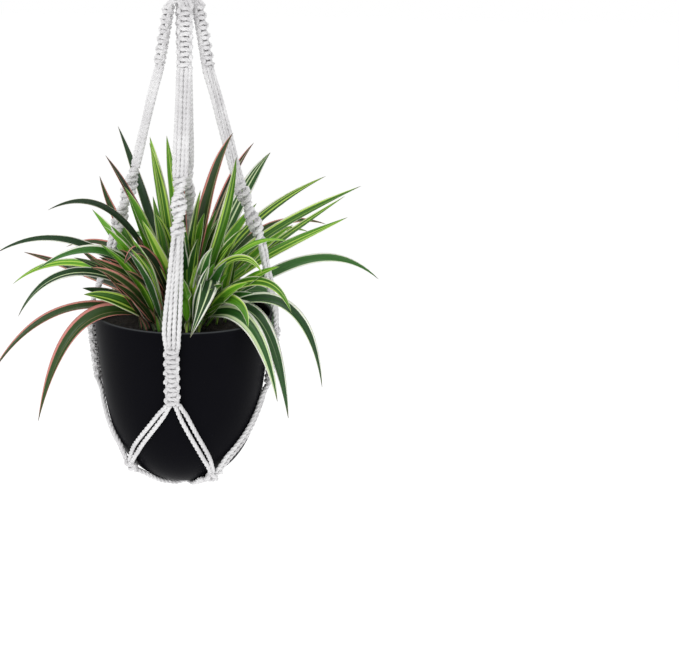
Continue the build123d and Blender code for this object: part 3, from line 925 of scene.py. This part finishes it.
class LeafMesh:
    """Several blades in one mesh, each a thin closed shell that is folded along its midrib."""

    TOP = np.linspace(-1, 1, 9)
    STATIONS = 34

    def __init__(self):
        self.verts, self.faces, self.uvs, self.skins, self.tints = [], [], [], [], []

    def add(self, azimuth, controls, width, skin, sway, rng):
        corners = np.array(controls, float) * MM
        t = np.linspace(0, 1, self.STATIONS)[:, None]
        weights = np.hstack([(1 - t) ** 3, 3 * t * (1 - t) ** 2, 3 * t**2 * (1 - t), t**3])
        curve = weights @ corners
        a = math.radians(azimuth)
        away, side = np.array([math.cos(a), math.sin(a), 0]), tangent(azimuth)
        t = t[:, 0]
        bend = -sway * MM * t**2 + rng.uniform(-1, 1) * 2.0 * MM * np.sin(math.pi * t * 1.5)
        mid = curve[:, :1] * away + curve[:, 1:] * np.array([0, 0, 1.0]) + bend[:, None] * side
        mid[:, 2] += rim_z
        along = np.gradient(mid, axis=0)
        along /= np.linalg.norm(along, axis=1)[:, None]
        roll = rng.uniform(-0.25, 0.25)
        fold_mid = rng.uniform(0.30, 0.50)
        base = len(self.verts)
        tint = rng.uniform(0.15, 0.85)
        under = self.TOP[1:-1][::-1]
        for i in range(self.STATIONS):
            across = unit(side - along[i] * side.dot(along[i]))
            up = np.cross(along[i], across)
            towards_front = math.atan2(-across.dot(FRONT), up.dot(FRONT) + 0.25)
            turn = (roll + FACING * towards_front) * ease(t[i] / 0.3)
            across, up = (
                across * math.cos(turn) + up * math.sin(turn),
                up * math.cos(turn) - across * math.sin(turn),
            )
            half = FULLNESS * width * MM / 2 * leaf_width(t[i])
            fold = 1.0 - (1.0 - fold_mid) * ease(t[i] / 0.35)
            ripple = 0.05 * half * math.sin(t[i] * 19 + roll * 30)
            thick = min(0.28 * MM, half * 0.4)
            for c in self.TOP:
                lift = abs(c) ** 1.35 * half * math.sin(fold) + ripple * c
                self.verts.append(mid[i] + across * c * half * math.cos(fold) + up * lift)
                self.uvs.append((0.5 + 0.5 * c, t[i]))
            for c in under:
                lift = abs(c) ** 1.35 * half * math.sin(fold) + ripple * c
                drop = thick * (1.3 - abs(c))
                self.verts.append(mid[i] + across * c * half * math.cos(fold) + up * (lift - drop))
                self.uvs.append((0.5 + 0.5 * c, 2 + t[i]))
        ring = len(self.TOP) + len(under)
        skin_index = LEAF_ORDER.index(skin)
        before = len(self.faces)
        for i in range(self.STATIONS - 1):
            p, q = base + i * ring, base + (i + 1) * ring
            for k in range(ring):
                m = (k + 1) % ring
                self.faces.append((p + k, p + m, q + m, q + k))
        self.faces.append(tuple(base + k for k in reversed(range(ring))))
        self.faces.append(tuple(base + (self.STATIONS - 1) * ring + k for k in range(ring)))
        self.skins += [skin_index] * (len(self.faces) - before)
        self.tints += [tint] * (len(self.verts) - base)

    def build(self, name):
        obj = mesh_object(name, self.verts, self.faces, self.uvs)
        obj.data.polygons.foreach_set("material_index", np.array(self.skins, np.int32))
        attribute = obj.data.attributes.new("tint", "FLOAT", "POINT")
        attribute.data.foreach_set("value", np.array(self.tints, np.float32))
        return obj


def make_leaves():
    rng = random.Random(21)
    slots = {s["node"]: s["material_slot"] for s in frame["record"]["subparts"]}
    for node, leaves in LEAVES.items():
        tier, side = node.split("_leaves_")
        mesh = LeafMesh()
        for azimuth, rise_at, fall_at, tip, width, skin, sway in leaves:
            mesh.add(azimuth, (TIER_BASES[tier], rise_at, fall_at, tip), width, skin, sway, rng)
        finish_piece(mesh.build(f"{tier}_blades_{side}"), "potted_plant", slots[node], ALL_SKINS, node)


def blade(root, rise, length, droop):
    """Control points of a blade that leaves its root at a steep angle and leans over."""
    steep, level, last = (math.radians(rise + lean) for lean in (droop, 0.0, -droop))
    points = [(root, -15.0)]
    for share, angle in ((0.36, steep), (0.34, level), (0.30, last)):
        radius, height = points[-1]
        run = share * length
        points.append((radius + run * math.cos(angle), height + run * math.sin(angle)))
    return points


def make_inner_leaves():
    """The many other leaves that fill the middle and hide the soil. Long ones keep to the
    sectors between the arms, and the others stay inside the arms."""
    rng = random.Random(33)
    mesh = LeafMesh()
    low_left_skins = ("pink", "dark", "pink", "pink", "green")
    other_skins = ("green", "striped", "green", "green")

    def add(azimuth, controls, width):
        skins = low_left_skins if 150 < azimuth < 255 and controls[-1][1] < 85 else other_skins
        mesh.add(azimuth, controls, width, rng.choice(skins), rng.uniform(-6, 6), rng)

    for first, last, count in ((287, 327, 8), (15, 58, 8), (105, 147, 8), (195, 237, 10)):
        for i in range(count):
            azimuth = first + (last - first) * (i + rng.uniform(0.2, 0.8)) / count
            rise = rng.uniform(24, 64)
            length = rng.uniform(95, 150) if rise > 36 else rng.uniform(90, 125)
            controls = blade(rng.uniform(12, 40), rise, length, rng.uniform(8, 20))
            add(azimuth, controls, rng.uniform(10, 14))
    for azimuth in (208, 215, 222, 228, 233, 237, 240, 243, 246):
        root = rng.uniform(40, 54)
        lean = rng.uniform(14, 46)
        controls = blade(root, rng.uniform(48, 78), rng.uniform(60, 118), rng.uniform(4, 12))
        skin = rng.choice(low_left_skins if azimuth < 240 else other_skins)
        mesh.add(azimuth, controls, rng.uniform(9, 12), skin, lean, rng)
    for azimuth in (281, 284, 287, 290, 295):
        root, rise, length = rng.uniform(38, 54), rng.uniform(56, 80), rng.uniform(60, 112)
        controls = blade(root, rise, length, rng.uniform(4, 12))
        width, skin = rng.uniform(9, 12), rng.choice(other_skins)
        mesh.add(azimuth, controls, width, skin, rng.uniform(-26, 0), rng)
    for i in range(50):
        azimuth = (i * 137.5) % 360
        root = rng.uniform(6, 62)
        rise = rng.uniform(60, 84)
        length = rng.uniform(50, 140)
        tip_height = length * math.sin(math.radians(rise))
        room = 78 - 0.28 * tip_height - length * math.cos(math.radians(rise))
        controls = blade(max(2.0, min(root, room)), rise, length, rng.uniform(3, 10))
        add(azimuth, controls, rng.uniform(9, 13))
    finish_piece(mesh.build("inner_blades"), "potted_plant", "leaf_green", ALL_SKINS)


def make_crown():
    """Short sheaths, folded round each other, where all the leaves begin."""
    rng = random.Random(5)
    mesh = LeafMesh()
    for i in range(16):
        azimuth = 360 * i / 16 + rng.uniform(-8, 8)
        reach = rng.uniform(16, 26)
        height = rng.uniform(14, 34)
        controls = ((4, -17), (6, -4), (reach * 0.6, height * 0.6), (reach, height))
        mesh.add(azimuth, controls, rng.uniform(9, 13), rng.choice(["green", "dark", "pink"]), 0, rng)
    finish_piece(mesh.build("leaf_sheaths"), "potted_plant", "leaf_green", ALL_SKINS, "crown")


# ---------------------------------------------------------------- light and surroundings
def area_light(name, location, aim, size, power):
    data = bpy.data.lights.new(name, "AREA")
    data.shape = "RECTANGLE"
    data.size, data.size_y = size
    data.energy = power
    light = bpy.data.objects.new(name, data)
    light.location = location
    light.rotation_euler = (Vector(aim) - Vector(location)).to_track_quat("-Z", "Y").to_euler()
    bpy.context.scene.collection.objects.link(light)


def make_studio():
    middle = (0, 0, rim_z + 0.08)
    area_light("key_light", (-0.9, -1.5, 0.75), middle, (0.9, 0.9), 16)
    area_light("fill_light", (1.5, -1.1, 0.0), middle, (1.0, 1.2), 5)
    area_light("top_light", (0.1, 0.5, 1.2), middle, (1.2, 1.2), 9)
    world = bpy.data.worlds.new("studio")
    world.use_nodes = True
    tree = world.node_tree
    surroundings = tree.nodes["Background"]
    surroundings.inputs["Color"].default_value = (1.0, 1.0, 1.0, 1)
    surroundings.inputs["Strength"].default_value = 0.55
    backdrop = tree.nodes.new("ShaderNodeBackground")
    backdrop.inputs["Color"].default_value = (1.0, 1.0, 1.0, 1)
    backdrop.inputs["Strength"].default_value = 1.0
    seen = tree.nodes.new("ShaderNodeMixShader")
    tree.links.new(tree.nodes.new("ShaderNodeLightPath").outputs["Is Camera Ray"], seen.inputs[0])
    tree.links.new(surroundings.outputs[0], seen.inputs[1])
    tree.links.new(backdrop.outputs[0], seen.inputs[2])
    tree.links.new(seen.outputs[0], tree.nodes["World Output"].inputs[0])
    bpy.context.scene.world = world
    bpy.context.scene.view_settings.view_transform = "Standard"

    floor_z = cad_low.z - 0.6
    n = Nodes("studio_floor")
    speckle = n.noise(n.position(), 3.0, 2.0)
    n.link(n.mix(speckle, (0.90, 0.90, 0.90), (0.93, 0.93, 0.93)), n.shader.inputs["Base Color"])
    n.shader.inputs["Roughness"].default_value = 0.9
    n.shader.inputs["Emission Color"].default_value = (1.0, 1.0, 1.0, 1)
    n.shader.inputs["Emission Strength"].default_value = 0.5
    size = 14
    corners = [(x * size, y * size, floor_z) for x, y in ((-1, -1), (1, -1), (1, 1), (-1, 1))]
    floor = mesh_object("floor", corners, [(0, 1, 2, 3)], smooth=False)
    floor.data.materials.append(n.material)


# ---------------------------------------------------------------- assemble
for arm, stations in ARMS.items():
    make_arm(arm, *stations)
for pair, knot in LOWER_KNOTS.items():
    make_cradle(pair, knot)
knots = list(LOWER_KNOTS.values())
make_base_cords(knots[0::2], 0, "base_cords_upper")
make_base_cords(knots[1::2], 1, "base_cords_lower")
make_cord_loops()
make_wrap()
frame["nodes"]["ring"].data.materials.clear()
frame["nodes"]["ring"].data.materials.append(polished_steel())
make_pot()
make_soil()
make_leaves()
make_inner_leaves()
make_crown()
make_studio()
